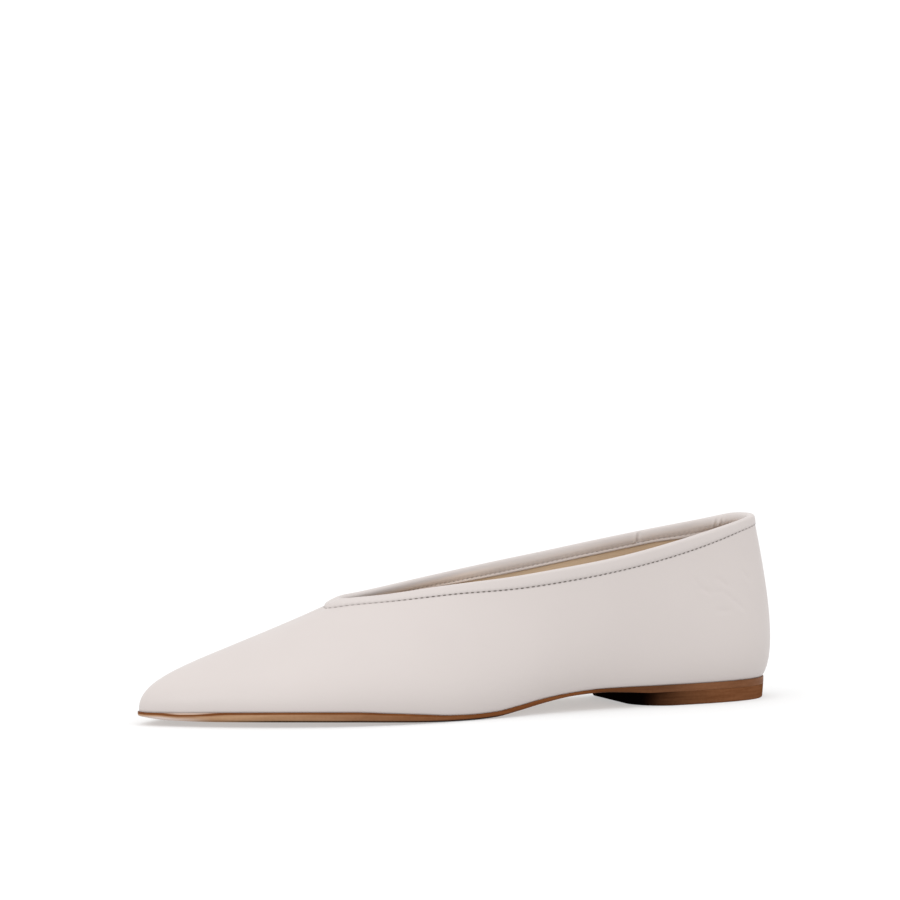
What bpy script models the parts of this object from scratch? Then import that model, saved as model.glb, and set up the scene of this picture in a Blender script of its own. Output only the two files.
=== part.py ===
"""Left V-cut flat shoe: hollow leather upper, folded topline binding, leather outsole, low heel, insole.

Shoe places are (along, side, up): along runs from the back of the feather line to the toe, side is
positive on the medial side, and up is measured from the floor. In the scene the toe points to -X.
"""

import math
from collections import namedtuple

import bmesh
import bpy
import numpy as np

# Driving dimensions, in metres
LAST_LENGTH = 0.2520      # feather line, from heel to toe
BALL_WIDTH = 0.0728       # feather line, across the ball
BACK_HEIGHT = 0.0676      # upper's own top edge above the floor, at the back
THROAT_HEIGHT = 0.0414    # upper's own top edge above the floor, at the point of the V
UPPER_WALL = 0.0018       # leather and lining together
GAP = 0.0003              # between pieces that meet

BINDING_THICK = 0.0006    # strip folded over the top edge
BINDING_OUTSIDE = 0.0036  # how far the strip comes down outside, where it is of full depth
BINDING_INSIDE = 0.0042   # and inside
BINDING_CREST = 0.0015    # rise of the folded edge over the upper's edge
CREST_FOLLOWS = 0.5       # share of the band's change of depth that the crest follows

SOLE_PROUD = 0.0005       # outsole beyond the feather line
EDGE_FLAT = 0.0009        # upright part of the outsole's edge
HEEL_LENGTH = 0.0625      # from the back to the breast, on the lateral side
HEEL_SKEW = 0.0040        # shorter than that on the medial side
LATERAL_CORNER = 0.0135   # rounded front corners of the heel
MEDIAL_CORNER = 0.0040
HEEL_TAPER = 0.0004       # the heel's foot lies inside its top by this much
INSOLE_INSET = 0.0027     # insole inside the feather line
INSOLE_THICK = 0.0020
INSOLE_ROUND = 0.0005

# Fineness of the facets
STEPS_PER_RIB = 3
RIB_SAMPLES = 80
COLLAR_ROWS = (0.0, 0.0014, 0.0029, 0.0045)
WALL_SHARES = (0.0, 0.02, 0.06, 0.12, 0.20, 0.29, 0.40, 0.52, 0.64, 0.76, 0.88)
CREST_STEPS = 6
EDGE_STEPS = 3
UNDERSIDE_SHARES = (0.86, 0.62, 0.32)
SPINE_HEEL, SPINE_TOE = 0.09, 0.90
BREAST_STEPS = 10

MILLIMETRE = 0.001
PERCENT = 0.01

# One rib runs from the feather line up to the top edge of the upper. Along and rim_along are percent of
# the last's length, lateral, medial and rim_side percent of the ball width, rim_rise and medial_rise the
# rim's height on the two sides in percent of the way from the throat's height to the back's. Flare is
# the angle out from upright at the feather line, lean and medial_lean the angles in from upright at the
# rim, and foot and top the two handles in percent of the rib's chord.
# Band is the binding's depth there in percent of its full depth.
Rib = namedtuple("Rib", "along lateral medial rim_along rim_side rim_rise medial_rise"
                        " flare lean medial_lean foot top band")
RIBS = [
    Rib(-0.25, 0.0, 0.0, 0.8, 0.0, 100.0, 100.0, 36, 12, 12, 20.5, 34, 70),
    Rib(1.35, 17.0, 16.3, 1.9, 11.3, 98.9, 98.2, 35, 12, 10, 20, 34, 72),
    Rib(5.2, 28.3, 27.0, 5.2, 17.9, 93.1, 90.7, 34, 12, 6, 19.5, 35, 78),
    Rib(11.9, 34.2, 32.2, 11.6, 23.9, 80.1, 79.0, 31, 12, 4, 20, 35, 97),
    Rib(20.6, 35.6, 31.3, 20.2, 29.2, 63.3, 64.5, 28, 12, 4, 22, 36, 106),
    Rib(30.2, 36.4, 27.7, 29.4, 31.9, 47.6, 49.2, 27, 13, 4, 25, 36, 106),
    Rib(40.1, 40.0, 26.4, 38.1, 31.1, 36.0, 37.0, 25, 17, 7, 28, 37, 107),
    Rib(50.0, 47.6, 30.1, 45.8, 27.3, 26.5, 28.0, 21, 25, 14, 28, 36, 100),
    Rib(59.1, 52.8, 38.9, 52.4, 22.6, 20.6, 20.9, 16, 33, 24, 26, 38, 88),
    Rib(67.1, 54.2, 46.5, 57.9, 17.9, 14.8, 14.7, 13, 41, 34, 25, 42, 87),
    Rib(74.2, 51.4, 49.4, 62.3, 13.6, 9.4, 10.0, 11, 49, 44, 22, 46, 86),
    Rib(81.0, 44.2, 46.4, 65.5, 10.0, 6.1, 6.9, 10, 56, 53, 20, 50, 92),
    Rib(87.3, 33.0, 39.3, 67.6, 7.2, 4.0, 4.9, 9, 61.5, 60, 18.6, 53, 108),
    Rib(92.9, 20.5, 29.7, 68.8, 4.6, 1.9, 3.0, 8, 65.3, 64.8, 18, 56, 130),
    Rib(97.2, 8.3, 18.7, 69.4, 2.4, 0.8, 1.5, 6, 67.2, 67.2, 17, 58, 148),
    Rib(100.0, -5.5, 5.5, 69.5, 0.0, 0.0, 0.0, 5, 68.2, 68.2, 17, 59, 155),
]

# One section of the sole: along in percent of the last's length, the rest in millimetres. Feather is the
# height of the feather line, edge the outsole's thickness at its edge, crown how far its middle hangs
# below that edge, undercut how far the rounded edge runs under. The tread and the heel seat are level.
Section = namedtuple("Section", "along feather edge crown undercut")
SECTIONS = [
    Section(-2.0, 8.0, 2.5, 0.0, 0.1),
    Section(10.0, 7.9, 2.4, 0.0, 0.1),
    Section(23.0, 7.8, 2.3, 0.0, 0.1),
    Section(27.5, 7.85, 1.7, 0.5, 0.5),
    Section(31.5, 7.8, 1.15, 1.2, 0.8),
    Section(37.0, 7.1, 1.0, 1.5, 0.8),
    Section(42.0, 5.85, 1.4, 1.3, 1.0),
    Section(47.0, 3.95, 1.65, 0.9, 1.2),
    Section(51.5, 2.45, 1.75, 0.6, 1.2),
    Section(55.5, 2.15, 1.8, 0.4, 1.3),
    Section(59.5, 2.4, 2.0, 0.5, 1.4),
    Section(64.0, 3.3, 2.6, 0.7, 1.6),
    Section(69.0, 4.25, 3.0, 0.9, 1.6),
    Section(75.0, 5.15, 3.35, 0.8, 1.6),
    Section(83.0, 5.45, 3.3, 0.5, 1.6),
    Section(92.0, 5.25, 3.1, 0.3, 1.6),
    Section(97.0, 4.9, 2.5, 0.2, 1.5),
    Section(101.0, 4.7, 1.3, 0.1, 1.0),
]

Finish = namedtuple("Finish", "red green blue roughness")
FINISHES = {
    "upper_leather": Finish(0.74, 0.69, 0.66, 0.42),
    "binding_leather": Finish(0.72, 0.67, 0.63, 0.45),
    "sole_leather": Finish(0.21, 0.10, 0.05, 0.50),
    "heel_leather": Finish(0.16, 0.07, 0.035, 0.45),
    "insole_leather": Finish(0.52, 0.38, 0.26, 0.60),
}


def closed_spline(rows, steps):
    """Smooth closed run through the rows, with so many steps from each row to the next."""
    rows = np.asarray(rows, float)
    count = len(rows)
    matrix = 4.0 * np.eye(count) + np.roll(np.eye(count), 1, 0) + np.roll(np.eye(count), -1, 0)
    slopes = np.linalg.solve(matrix, 3.0 * (np.roll(rows, -1, 0) - np.roll(rows, 1, 0)))
    this = np.arange(count * steps) // steps
    following = (this + 1) % count
    t = ((np.arange(count * steps) % steps) / steps)[:, None]
    return (rows[this] * (1 + 2 * t) * (1 - t) ** 2 + slopes[this] * t * (1 - t) ** 2
            + rows[following] * t * t * (3 - 2 * t) + slopes[following] * t * t * (t - 1))


def monotone(places, values, at):
    """Smooth curve through the values that never swings past them."""
    places, values = np.asarray(places, float), np.asarray(values, float)
    widths = np.diff(places)
    rises = np.diff(values) / widths
    slopes = np.zeros(len(places))
    same_way = rises[:-1] * rises[1:] > 0
    blend = np.where(same_way, rises[:-1] * rises[1:], 0.0)
    slopes[1:-1] = 2.0 * blend / np.where(same_way, rises[:-1] + rises[1:], 1.0)
    k = np.clip(np.searchsorted(places, at) - 1, 0, len(widths) - 1)
    t = (at - places[k]) / widths[k]
    return (values[k] * (1 + 2 * t) * (1 - t) ** 2 + slopes[k] * widths[k] * t * (1 - t) ** 2
            + values[k + 1] * t * t * (3 - 2 * t) + slopes[k + 1] * widths[k] * t * t * (t - 1))


def sole_value(column, along):
    """A column of the sole's sections at these places along the shoe, in metres."""
    places = [section.along * PERCENT * LAST_LENGTH for section in SECTIONS]
    values = [getattr(section, column) * MILLIMETRE for section in SECTIONS]
    return monotone(places, values, along)


def unit(vectors):
    return vectors / np.linalg.norm(vectors, axis=-1, keepdims=True)


def outwards(loop):
    """Level normals of a loop that runs heel, lateral side, toe, medial side."""
    tangent = np.roll(loop, -1, 0) - np.roll(loop, 1, 0)
    level = np.stack([tangent[:, 1], -tangent[:, 0], 0.0 * tangent[:, 0]], 1)
    return unit(level)


def rib_row(rib, side, lateral):
    """One rib as numbers: feather place, rim place, angles, handles and band, on one side of the shoe."""
    width = rib.lateral if lateral else rib.medial
    rise = rib.rim_rise if lateral else rib.medial_rise
    lean = rib.lean if lateral else rib.medial_lean
    rim_up = THROAT_HEIGHT + rise * PERCENT * (BACK_HEIGHT - THROAT_HEIGHT)
    return (rib.along * PERCENT * LAST_LENGTH, side * width * PERCENT * BALL_WIDTH,
            rib.rim_along * PERCENT * LAST_LENGTH, side * rib.rim_side * PERCENT * BALL_WIDTH, rim_up,
            math.radians(rib.flare), math.radians(lean), rib.foot * PERCENT, rib.top * PERCENT,
            rib.band * PERCENT)


def rib_handles():
    """The four control points of every rib, all round the shoe, and the binding's share of its depth."""
    rows = [rib_row(rib, -1, True) for rib in RIBS]
    rows += [rib_row(rib, 1, False) for rib in reversed(RIBS[1:-1])]
    columns = closed_spline(rows, STEPS_PER_RIB).T
    along, side, rim_along, rim_side, rim_up, flare, lean, foot, top, band = columns
    feather = np.stack([along, side, sole_value("feather", along)], 1)
    rim = np.stack([rim_along, rim_side, rim_up], 1)
    chord = np.linalg.norm(rim - feather, axis=1)
    up = np.array([0.0, 0.0, 1.0])
    inwards = unit((rim - feather) * (1.0, 1.0, 0.0))
    rising = np.cos(flare)[:, None] * up + np.sin(flare)[:, None] * outwards(feather)
    arriving = np.cos(lean)[:, None] * up + np.sin(lean)[:, None] * inwards
    lower = feather + (foot * chord)[:, None] * rising
    upper = rim - (top * chord)[:, None] * arriving
    return feather, lower, upper, rim, band


def last_surface(from_rim, shares, banded=False):
    """Rows of the last's surface, feather line first: shares of each rib, then distances from the rim.

    Banded distances shrink and grow with the binding's depth.
    """
    t = np.linspace(0.0, 1.0, RIB_SAMPLES)[None, :, None]
    *points, band = rib_handles()
    a, b, c, d = (row[:, None, :] for row in points)
    dense = a * (1 - t) ** 3 + 3 * b * t * (1 - t) ** 2 + 3 * c * t * t * (1 - t) + d * t ** 3
    steps = np.linalg.norm(np.diff(dense, axis=1), axis=2)
    lengths = np.concatenate([np.zeros((len(dense), 1)), np.cumsum(steps, axis=1)], axis=1)
    rows = []
    for rib, length, share_of_band in zip(dense, lengths, band):
        gone = np.sort(from_rim)[::-1] * (share_of_band if banded else 1.0)
        free = length[-1] - gone[0]
        wanted = [share * free for share in shares] + list(length[-1] - gone)
        rows.append([[np.interp(want, length, rib[:, axis]) for axis in range(3)] for want in wanted])
    return np.array(rows).transpose(1, 0, 2)


def surface_normals(rows):
    """Outward normals at every point of the rows."""
    round_shoe = np.roll(rows, -1, 1) - np.roll(rows, 1, 1)
    up_rib = np.gradient(rows, axis=0)
    return unit(np.cross(round_shoe, up_rib))


def to_scene(point):
    return (-point[0], point[1], point[2])


def add_rings(bm, rings):
    """Quads between neighbouring rings of points; returns the rings' vertices."""
    made = [[bm.verts.new(to_scene(point)) for point in ring] for ring in rings]
    for low, high in zip(made, made[1:]):
        for i in range(len(low)):
            j = (i + 1) % len(low)
            bm.faces.new((low[i], high[i], high[j], low[j]))
    return made


def add_ladder(bm, ring):
    """Fills a ring across the shoe, from its lateral half to its medial half."""
    count = len(ring)
    bm.faces.new((ring[0], ring[1], ring[-1]))
    half = count // 2
    for i in range(1, half - 1):
        bm.faces.new((ring[i], ring[i + 1], ring[count - i - 1], ring[count - i]))
    bm.faces.new((ring[half - 1], ring[half], ring[half + 1]))


def finish_piece(bm, name, material, collection, closed=True):
    """Turns the working mesh into a named object with its material."""
    if closed:
        bmesh.ops.recalc_face_normals(bm, faces=bm.faces)
    mesh = bpy.data.meshes.new(name)
    bm.to_mesh(mesh)
    bm.free()
    mesh.shade_smooth()
    mesh.set_sharp_from_angle(angle=math.radians(40))
    mesh.materials.append(material)
    piece = bpy.data.objects.new(name, mesh)
    collection.objects.link(piece)
    return piece


def make_upper(material, collection):
    """The whole upper as one open surface over the last, thickened inwards."""
    bm = bmesh.new()
    add_rings(bm, last_surface(COLLAR_ROWS, WALL_SHARES))
    piece = finish_piece(bm, "upper", material, collection, closed=False)
    wall = piece.modifiers.new("wall", "SOLIDIFY")
    wall.thickness = UPPER_WALL
    wall.offset = -1.0
    wall.use_even_offset = True
    return piece


def make_binding(material, collection):
    """A strip folded over the top edge: outer leg, round crest, inner leg, and the slot that takes the edge."""
    legs = (0.0, BINDING_OUTSIDE / 2, BINDING_OUTSIDE, BINDING_INSIDE / 2, BINDING_INSIDE)
    rows = last_surface(legs, WALL_SHARES, banded=True)[-len(legs):]
    normals = surface_normals(rows)
    order = {distance: k for k, distance in enumerate(sorted(legs)[::-1])}

    def leg(distance, out):
        k = order[distance]
        return rows[k] + out * normals[k]

    edge, normal = rows[-1], normals[-1]
    rising = unit(edge - rows[-2])
    middle = edge - UPPER_WALL / 2 * normal
    *_, band = rib_handles()
    crest = BINDING_CREST * (1 + CREST_FOLLOWS * (band - 1))[:, None] * rising
    slot = UPPER_WALL / 2 + GAP
    reach = slot + BINDING_THICK
    outer, inner = GAP + BINDING_THICK, -UPPER_WALL - GAP - BINDING_THICK
    rings = [leg(BINDING_OUTSIDE, GAP), leg(BINDING_OUTSIDE, outer), leg(BINDING_OUTSIDE / 2, outer)]
    for k in range(CREST_STEPS + 1):
        turn = math.pi * k / CREST_STEPS
        rings.append(middle + reach * math.cos(turn) * normal + math.sin(turn) * crest)
    rings += [leg(BINDING_INSIDE / 2, inner), leg(BINDING_INSIDE, inner)]
    rings += [leg(BINDING_INSIDE, inner + BINDING_THICK), middle - slot * normal + GAP * rising]
    rings += [middle + slot * normal + GAP * rising]
    bm = bmesh.new()
    made = add_rings(bm, rings)
    first, last = made[0], made[-1]
    for i in range(len(first)):
        j = (i + 1) % len(first)
        bm.faces.new((last[i], first[i], first[j], last[j]))
    return finish_piece(bm, "topline_binding", material, collection)


def feather_loop(grow):
    """The feather line, moved out or in on the level by this much, the same all round or point by point."""
    feather = rib_handles()[0]
    return feather + np.asarray(grow)[..., None] * outwards(feather)


def with_height(loop, up):
    return np.stack([loop[:, 0], loop[:, 1], up], 1)


def make_outsole(material, collection):
    """Level-topped across, curved along; upright edge, rounded under, then a crowned underside."""
    rim = feather_loop(SOLE_PROUD)
    top = sole_value("feather", rim[:, 0]) - GAP
    thick = sole_value("edge", rim[:, 0])
    undercut = sole_value("undercut", rim[:, 0])
    flat = np.minimum(EDGE_FLAT, thick / 2)
    rings = [with_height(rim, top), with_height(rim, top - flat)]
    for k in range(1, EDGE_STEPS + 1):
        turn = math.pi / 2 * k / EDGE_STEPS
        loop = feather_loop(SOLE_PROUD - undercut * (1 - math.cos(turn)))
        rings.append(with_height(loop, np.maximum(top - flat - (thick - flat) * math.sin(turn), 0.0)))
    foot = rings[-1]
    spine = np.stack([np.clip(foot[:, 0], SPINE_HEEL * LAST_LENGTH, SPINE_TOE * LAST_LENGTH),
                      (foot[:, 1] + foot[-np.arange(len(foot)), 1]) / 2], 1)
    for share in UNDERSIDE_SHARES:
        loop = spine + share * (foot[:, :2] - spine)
        along = loop[:, 0]
        edge = sole_value("feather", along) - GAP - sole_value("edge", along)
        hang = sole_value("crown", along) * (1 - share * share)
        rings.append(with_height(loop, np.maximum(edge - hang, 0.0)))
    bm = bmesh.new()
    made = add_rings(bm, rings)
    add_ladder(bm, made[0])
    add_ladder(bm, made[-1])
    return finish_piece(bm, "outsole", material, collection)


def heel_outline(inset):
    """The heel seen from above: the sole's back, rounded corners and a straight breast that runs askew."""
    loop = feather_loop(SOLE_PROUD - inset)
    lateral_turn = HEEL_LENGTH - LATERAL_CORNER
    medial_turn = HEEL_LENGTH - HEEL_SKEW - MEDIAL_CORNER
    half = len(loop) // 2
    lateral = [p[:2] for p in loop[:half] if p[0] < lateral_turn]
    medial = [p[:2] for p in loop[half:] if p[0] < medial_turn]
    low, high = lateral[-1][1] + LATERAL_CORNER, medial[0][1] - MEDIAL_CORNER
    turns = [math.pi / 2 * k / BREAST_STEPS for k in range(BREAST_STEPS + 1)]
    front = [(lateral_turn - inset + LATERAL_CORNER * math.sin(turn), low - LATERAL_CORNER * math.cos(turn))
             for turn in turns]
    front += [(medial_turn - inset + MEDIAL_CORNER * math.cos(turn), high + MEDIAL_CORNER * math.sin(turn))
              for turn in turns]
    return np.array(lateral + front + medial)


def make_heel(material, collection):
    """A low block under the heel seat, standing on the floor."""
    seat = sole_value("feather", 0.0) - GAP - sole_value("edge", 0.0)
    wide, narrow = heel_outline(0.0), heel_outline(HEEL_TAPER)
    rings = [with_height(narrow, np.zeros(len(narrow))), with_height(wide, np.full(len(wide), seat - GAP))]
    bm = bmesh.new()
    for ring in add_rings(bm, rings):
        bm.faces.new(ring)
    return finish_piece(bm, "heel", material, collection)


def make_insole(material, collection):
    """A thin board on the outsole, inside the upper's wall, with a softened top edge."""
    loop, rounded = feather_loop(-INSOLE_INSET), feather_loop(-INSOLE_INSET - INSOLE_ROUND)
    low = sole_value("feather", loop[:, 0])
    high = sole_value("feather", rounded[:, 0]) + INSOLE_THICK
    shoulder = sole_value("feather", loop[:, 0]) + INSOLE_THICK - INSOLE_ROUND
    bm = bmesh.new()
    made = add_rings(bm, [with_height(loop, low), with_height(loop, shoulder), with_height(rounded, high)])
    add_ladder(bm, made[0])
    add_ladder(bm, made[-1])
    return finish_piece(bm, "insole", material, collection)


def make_material(name):
    finish = FINISHES[name]
    material = bpy.data.materials.new(name)
    material.use_nodes = True
    shader = material.node_tree.nodes["Principled BSDF"]
    shader.inputs["Base Color"].default_value = (finish.red, finish.green, finish.blue, 1.0)
    shader.inputs["Roughness"].default_value = finish.roughness
    shader.inputs["Metallic"].default_value = 0.0
    return material


def stand_on_origin(pieces, collection):
    """Parents the pieces to an empty, and moves it so that the shoe stands centred on the origin."""
    holder = bpy.data.objects.new("flat_shoe_origin", None)
    collection.objects.link(holder)
    for piece in pieces:
        piece.parent = holder
    bpy.context.view_layer.update()
    graph = bpy.context.evaluated_depsgraph_get()
    meshes = [piece.evaluated_get(graph).data for piece in pieces]
    places = np.array([tuple(vertex.co) for mesh in meshes for vertex in mesh.vertices])
    low, high = places.min(axis=0), places.max(axis=0)
    holder.location = (-(low[0] + high[0]) / 2, -(low[1] + high[1]) / 2, -low[2])


def main():
    for old in list(bpy.data.objects):
        bpy.data.objects.remove(old)
    collection = bpy.data.collections.new("v_cut_flat_shoe")
    bpy.context.scene.collection.children.link(collection)
    pieces = [
        make_outsole(make_material("sole_leather"), collection),
        make_heel(make_material("heel_leather"), collection),
        make_upper(make_material("upper_leather"), collection),
        make_binding(make_material("binding_leather"), collection),
        make_insole(make_material("insole_leather"), collection),
    ]
    stand_on_origin(pieces, collection)


main()
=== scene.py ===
import math

import bpy
import numpy as np
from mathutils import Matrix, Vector


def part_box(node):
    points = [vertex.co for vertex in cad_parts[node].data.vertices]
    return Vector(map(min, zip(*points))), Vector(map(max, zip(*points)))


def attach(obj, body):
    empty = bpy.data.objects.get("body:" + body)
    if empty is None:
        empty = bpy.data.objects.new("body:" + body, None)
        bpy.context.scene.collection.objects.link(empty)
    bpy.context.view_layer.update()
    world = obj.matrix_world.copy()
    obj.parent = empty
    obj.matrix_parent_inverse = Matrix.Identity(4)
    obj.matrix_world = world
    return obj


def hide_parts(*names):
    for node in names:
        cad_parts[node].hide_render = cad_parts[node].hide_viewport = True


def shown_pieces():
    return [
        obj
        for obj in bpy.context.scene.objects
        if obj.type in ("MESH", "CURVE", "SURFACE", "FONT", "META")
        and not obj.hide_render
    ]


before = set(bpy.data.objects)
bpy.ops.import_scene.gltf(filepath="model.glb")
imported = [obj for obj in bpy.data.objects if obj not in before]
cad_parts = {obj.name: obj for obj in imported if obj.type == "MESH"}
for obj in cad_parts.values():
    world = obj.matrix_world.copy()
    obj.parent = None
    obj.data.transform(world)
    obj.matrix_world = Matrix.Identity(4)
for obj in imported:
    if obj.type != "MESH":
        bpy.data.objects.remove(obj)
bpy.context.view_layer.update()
print("frame loaded, nodes:", len(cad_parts))

mm = 0.001
percent = 0.01

# the last that the shoe was made on: shoe places are (along from the heel, side, up), medial side positive
last = {
    "length": 0.2520,
    "ballWidth": 0.0728,
    "backHeight": 0.0676,      # the upper's own top edge, at the back
    "throatHeight": 0.0414,    # and at the point of the V
    "wall": 0.0018,            # leather and lining together
    "gap": 0.0003,             # between the solids
    "solidSteps": 3,           # points from one rib to the next in the solids
    "ribSamples": 161,         # places where a rib's length is measured
}

# along, rimAlong: % of length. lateral, medial, rimSide: % of ball width.
# rimRise, medialRise: height of the rim on the two sides, % from throat to back.
# flare: degrees out at the foot. lean, medialLean: degrees in at the rim, on the two sides.
# foot, top: the rib's handles, % of its chord.
# band: the binding's depth there, % of its full depth.
ribColumns = ("along", "lateral", "medial", "rimAlong", "rimSide", "rimRise", "medialRise", "flare", "lean",
              "medialLean", "foot", "top", "band")
ribTable = (
    (-0.25, 0.0, 0.0, 0.8, 0.0, 100.0, 100.0, 36, 12, 12, 20.5, 34, 70),
    (1.35, 17.0, 16.3, 1.9, 11.3, 98.9, 98.2, 35, 12, 10, 20, 34, 72),
    (5.2, 28.3, 27.0, 5.2, 17.9, 93.1, 90.7, 34, 12, 6, 19.5, 35, 78),
    (11.9, 34.2, 32.2, 11.6, 23.9, 80.1, 79.0, 31, 12, 4, 20, 35, 97),
    (20.6, 35.6, 31.3, 20.2, 29.2, 63.3, 64.5, 28, 12, 4, 22, 36, 106),
    (30.2, 36.4, 27.7, 29.4, 31.9, 47.6, 49.2, 27, 13, 4, 25, 36, 106),
    (40.1, 40.0, 26.4, 38.1, 31.1, 36.0, 37.0, 25, 17, 7, 28, 37, 107),
    (50.0, 47.6, 30.1, 45.8, 27.3, 26.5, 28.0, 21, 25, 14, 28, 36, 100),
    (59.1, 52.8, 38.9, 52.4, 22.6, 20.6, 20.9, 16, 33, 24, 26, 38, 88),
    (67.1, 54.2, 46.5, 57.9, 17.9, 14.8, 14.7, 13, 41, 34, 25, 42, 87),
    (74.2, 51.4, 49.4, 62.3, 13.6, 9.4, 10.0, 11, 49, 44, 22, 46, 86),
    (81.0, 44.2, 46.4, 65.5, 10.0, 6.1, 6.9, 10, 56, 53, 20, 50, 92),
    (87.3, 33.0, 39.3, 67.6, 7.2, 4.0, 4.9, 9, 61.5, 60, 18.6, 53, 108),
    (92.9, 20.5, 29.7, 68.8, 4.6, 1.9, 3.0, 8, 65.3, 64.8, 18, 56, 130),
    (97.2, 8.3, 18.7, 69.4, 2.4, 0.8, 1.5, 6, 67.2, 67.2, 17, 58, 148),
    (100.0, -5.5, 5.5, 69.5, 0.0, 0.0, 0.0, 5, 68.2, 68.2, 17, 59, 155),
)
ribs = [dict(zip(ribColumns, row)) for row in ribTable]

# along: % of length, the rest in mm. feather: height of the line where upper meets sole.
# edge: sole thickness. crown: how far the middle hangs below the edge.
# undercut: how far the rounded edge runs under.
soleColumns = ("along", "feather", "edge", "crown", "undercut")
soleTable = (
    (-2.0, 8.0, 2.5, 0.0, 0.1),
    (10.0, 7.9, 2.4, 0.0, 0.1),
    (23.0, 7.8, 2.3, 0.0, 0.1),
    (27.5, 7.85, 1.7, 0.5, 0.5),
    (31.5, 7.8, 1.15, 1.2, 0.8),
    (37.0, 7.1, 1.0, 1.5, 0.8),
    (42.0, 5.85, 1.4, 1.3, 1.0),
    (47.0, 3.95, 1.65, 0.9, 1.2),
    (51.5, 2.45, 1.75, 0.6, 1.2),
    (55.5, 2.15, 1.8, 0.4, 1.3),
    (59.5, 2.4, 2.0, 0.5, 1.4),
    (64.0, 3.3, 2.6, 0.7, 1.6),
    (69.0, 4.25, 3.0, 0.9, 1.6),
    (75.0, 5.15, 3.35, 0.8, 1.6),
    (83.0, 5.45, 3.3, 0.5, 1.6),
    (92.0, 5.25, 3.1, 0.3, 1.6),
    (97.0, 4.9, 2.5, 0.2, 1.5),
    (101.0, 4.7, 1.3, 0.1, 1.0),
)
soleRows = {name: np.array([row[k] for row in soleTable]) for k, name in enumerate(soleColumns)}


def closedSpline(rows, steps):
    rows = np.asarray(rows, float)
    count = len(rows)
    matrix = 4.0 * np.eye(count) + np.roll(np.eye(count), 1, 0) + np.roll(np.eye(count), -1, 0)
    slopes = np.linalg.solve(matrix, 3.0 * (np.roll(rows, -1, 0) - np.roll(rows, 1, 0)))
    this = np.arange(count * steps) // steps
    following = (this + 1) % count
    t = ((np.arange(count * steps) % steps) / steps)[:, None]
    return (rows[this] * (1 + 2 * t) * (1 - t) ** 2 + slopes[this] * t * (1 - t) ** 2
            + rows[following] * t * t * (3 - 2 * t) + slopes[following] * t * t * (t - 1))


def monotone(places, values, at):
    widths = np.diff(places)
    rises = np.diff(values) / widths
    slopes = np.zeros(len(places))
    sameWay = rises[:-1] * rises[1:] > 0
    blend = np.where(sameWay, rises[:-1] * rises[1:], 0.0)
    slopes[1:-1] = 2.0 * blend / np.where(sameWay, rises[:-1] + rises[1:], 1.0)
    k = np.clip(np.searchsorted(places, at) - 1, 0, len(widths) - 1)
    t = (at - places[k]) / widths[k]
    return (values[k] * (1 + 2 * t) * (1 - t) ** 2 + slopes[k] * widths[k] * t * (1 - t) ** 2
            + values[k + 1] * t * t * (3 - 2 * t) + slopes[k + 1] * widths[k] * t * t * (t - 1))


def soleValue(column, along):
    return monotone(soleRows["along"] * percent * last["length"], soleRows[column] * mm, along)


def unit(vectors):
    return vectors / np.linalg.norm(vectors, axis=-1, keepdims=True)


def smooth(value, low, high):
    t = np.clip((value - low) / (high - low), 0.0, 1.0)
    return t * t * (3 - 2 * t)


def between(value, ends):  # rises over the first two places and falls over the last two
    return smooth(value, ends[0], ends[1]) * (1 - smooth(value, ends[2], ends[3]))


def outwards(loop):  # level normals of a loop that runs heel, lateral side, toe, medial side
    tangent = np.roll(loop, -1, 0) - np.roll(loop, 1, 0)
    return unit(np.stack([tangent[:, 1], -tangent[:, 0], 0.0 * tangent[:, 0]], 1))


def ribRow(rib, side, width, rise, lean):
    height = last["backHeight"] - last["throatHeight"]
    return (rib["along"] * percent * last["length"], side * width * percent * last["ballWidth"],
            rib["rimAlong"] * percent * last["length"], side * rib["rimSide"] * percent * last["ballWidth"],
            last["throatHeight"] + rise * percent * height,
            math.radians(rib["flare"]), math.radians(lean), rib["foot"] * percent, rib["top"] * percent,
            rib["band"] * percent)


def ribHandles(steps):  # the four control points of every rib, and the binding's share of its depth there
    rows = [ribRow(rib, -1.0, rib["lateral"], rib["rimRise"], rib["lean"]) for rib in ribs]
    rows += [ribRow(rib, 1.0, rib["medial"], rib["medialRise"], rib["medialLean"])
             for rib in reversed(ribs[1:-1])]
    along, side, rimAlong, rimSide, rimUp, flare, lean, foot, top, band = closedSpline(rows, steps).T
    feather = np.stack([along, side, soleValue("feather", along)], 1)
    rim = np.stack([rimAlong, rimSide, rimUp], 1)
    chord = np.linalg.norm(rim - feather, axis=1)
    up = np.array([0.0, 0.0, 1.0])
    inwards = unit((rim - feather) * (1.0, 1.0, 0.0))
    rising = np.cos(flare)[:, None] * up + np.sin(flare)[:, None] * outwards(feather)
    arriving = np.cos(lean)[:, None] * up + np.sin(lean)[:, None] * inwards
    lower = feather + (foot * chord)[:, None] * rising
    higher = rim - (top * chord)[:, None] * arriving
    return feather, lower, higher, rim, band


def bezier(a, b, c, d, t):
    return a * (1 - t) ** 3 + 3 * b * t * (1 - t) ** 2 + 3 * c * t * t * (1 - t) + d * t ** 3


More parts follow.
